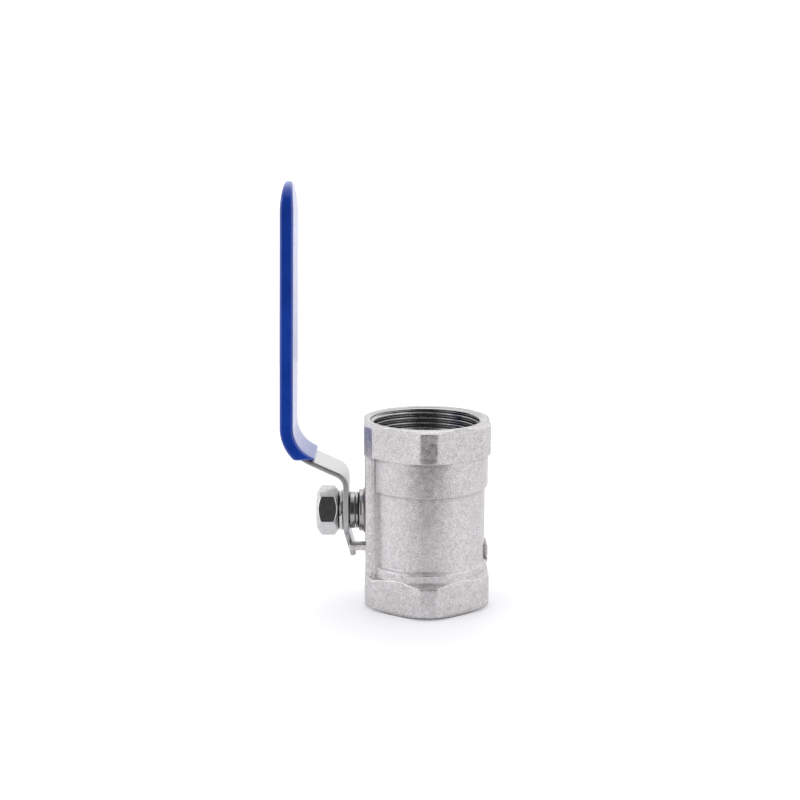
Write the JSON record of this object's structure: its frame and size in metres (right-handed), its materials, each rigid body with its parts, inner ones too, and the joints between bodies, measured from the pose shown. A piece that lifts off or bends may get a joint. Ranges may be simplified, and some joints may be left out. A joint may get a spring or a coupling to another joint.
{
  "type": "water shutoff valve",
  "caption": "Screwed-end steel ball valve: hexagon-ended body standing upright, and a bent strap lever in a dipped plastic sleeve that turns the ball a quarter turn to shut off the water.",
  "frame": {"origin": "centre of the rectangle that the whole valve and lever cover on the surface it stands on; the flow axis is 17.4 mm along +X from it", "axes": "+Z along the flow axis, from the lower end to the end with the seat retainer; -X along the stem, from the body towards the lever; -Y is where the lever's tip points when the valve is shut"},
  "size_m": [0.0878, 0.0572, 0.1788],
  "materials": {
    "cast_steel": "pickled investment-cast stainless steel, satin with fine grain",
    "machined_steel": "turned stainless steel, fine tool marks",
    "polished_steel": "mirror polished",
    "strap_steel": "rolled stainless strip, satin",
    "nut_steel": "bright cold-formed stainless steel",
    "washer_steel": "spring steel, semi-bright",
    "gland_steel": "turned stainless steel, bright",
    "ptfe": "smooth, waxy",
    "blue_vinyl": "glossy dipped vinyl"
  },
  "bodies": {
    "housing": {"valve_body": "cast_steel", "seat_retainer": "machined_steel", "retainer_gasket": "ptfe", "seat_ring_lower": "ptfe", "seat_ring_upper": "ptfe", "stem_thrust_washer": "ptfe", "packing_ring_inner": "ptfe", "packing_ring_middle": "ptfe", "packing_ring_outer": "ptfe", "packing_gland": "gland_steel"},
    "handle": {"stem": "machined_steel", "spacer_washer": "gland_steel", "lever": "strap_steel", "lever_sleeve": "blue_vinyl", "lock_washer": "washer_steel", "handle_nut": "nut_steel"},
    "ball": {"ball": "polished_steel"}
  },
  "joints": [
    {"name": "handle_turn", "type": "hinge", "parent": "housing", "child": "handle", "pos_m": [0, 0, 0.0395], "axis": [1, 0, 0], "range_deg": [0, 90]},
    {"name": "ball_turn", "type": "hinge", "parent": "housing", "child": "ball", "pos_m": [0.01744, 0, 0.0395], "axis": [1, 0, 0], "range_deg": [0, 90]}
  ],
  "couplings": [
    {"joint": "ball_turn", "follows": "handle_turn", "ratio": 1}
  ]
}
